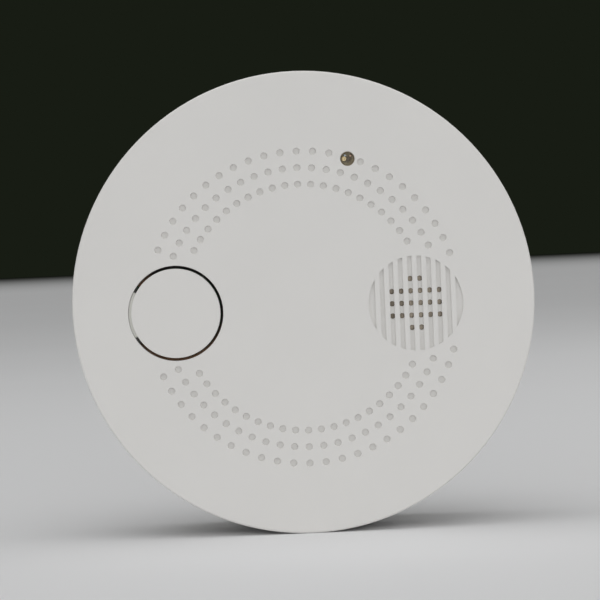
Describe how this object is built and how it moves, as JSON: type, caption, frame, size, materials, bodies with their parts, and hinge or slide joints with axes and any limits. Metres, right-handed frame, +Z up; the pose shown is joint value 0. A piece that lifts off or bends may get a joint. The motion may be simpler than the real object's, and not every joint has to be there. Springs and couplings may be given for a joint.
{
  "type": "smoke detector",
  "caption": "Round flat-faced wall or ceiling smoke detector with a dimpled face, hinged test button, ridged sounder grille, side smoke inlet and bayonet mounting plate.",
  "frame": {"origin": "centre of the mounting plate's back face, in the plane of the wall", "axes": "+Y into the wall, +Z up and +X right as seen by a person in front of the face, which looks towards -Y"},
  "size_m": [0.112, 0.0361, 0.112],
  "materials": {
    "cover_white": "fine spark-eroded texture",
    "housing_white": "fine spark-eroded texture",
    "plate_white": "satin moulded",
    "button_white": "fine spark-eroded texture",
    "black_plastic": "matt moulded",
    "sounder_plastic": "satin moulded",
    "slider_plastic": "satin moulded",
    "steel": "zinc plated",
    "nickel": "nickel plated",
    "brass": "rolled sheet",
    "ceramic": "silvered ceramic",
    "led_epoxy": "clear epoxy",
    "ir_epoxy": "tinted epoxy",
    "circuit_green": "solder resist",
    "chip_black": "moulded epoxy",
    "coil": "ferrite and shrink sleeve",
    "can": "sleeved can",
    "battery_wrap": "shrink sleeve",
    "foam": "foam",
    "mesh": "woven wire",
    "label": "plain label stock"
  },
  "bodies": {
    "mount": {"mounting_plate": "plate_white"},
    "alarm_head": {"front_cover": "cover_white", "rear_housing": "housing_white", "button_pin": "steel", "switch_body": "black_plastic", "sounder_cup": "sounder_plastic", "sounder_disc": "brass", "sounder_ceramic": "ceramic", "sounder_gasket": "foam", "sounder_contacts": "nickel", "status_led": "led_epoxy", "led_spacer": "black_plastic", "led_leads": "nickel", "back_label": "label", "cover_screws": "steel", "board_screws": "steel", "circuit_board": "circuit_green", "microcontroller": "chip_black", "sounder_coil": "coil", "storage_capacitor": "can", "chip_resistors": "chip_black", "battery_cell": "battery_wrap", "battery_tabs": "nickel", "battery_pad": "foam", "chamber_base": "black_plastic", "chamber_lid": "black_plastic", "insect_screen": "mesh", "infrared_emitter": "ir_epoxy", "photodiode": "ir_epoxy", "slide_switch_body": "black_plastic"},
    "test_button": {"test_button": "button_white"},
    "switch_plunger": {"switch_plunger": "black_plastic"},
    "power_slider": {"power_slider": "slider_plastic"}
  },
  "joints": [
    {"name": "head_twist", "type": "hinge", "parent": "mount", "child": "alarm_head", "pos_m": [0, 0, 0], "axis": [0, -1, 0], "range_deg": [0, 15]},
    {"name": "button_press", "type": "hinge", "parent": "alarm_head", "child": "test_button", "pos_m": [-0.04384, -0.034, -0.0013], "axis": [0, 0, 1], "range_deg": [0, 3], "stiffness_Nm_per_rad": 0.2},
    {"name": "switch_travel", "type": "slide", "parent": "alarm_head", "child": "switch_plunger", "axis": [0, 1, 0], "range_m": [0, 0.001]},
    {"name": "power_slide", "type": "hinge", "parent": "alarm_head", "child": "power_slider", "pos_m": [0, 0, 0], "axis": [0, -1, 0], "range_deg": [-15, 0]}
  ],
  "couplings": [
    {"joint": "switch_travel", "follows": "button_press", "m_per_rad": 0.01784},
    {"joint": "power_slide", "follows": "head_twist", "ratio": -1}
  ]
}
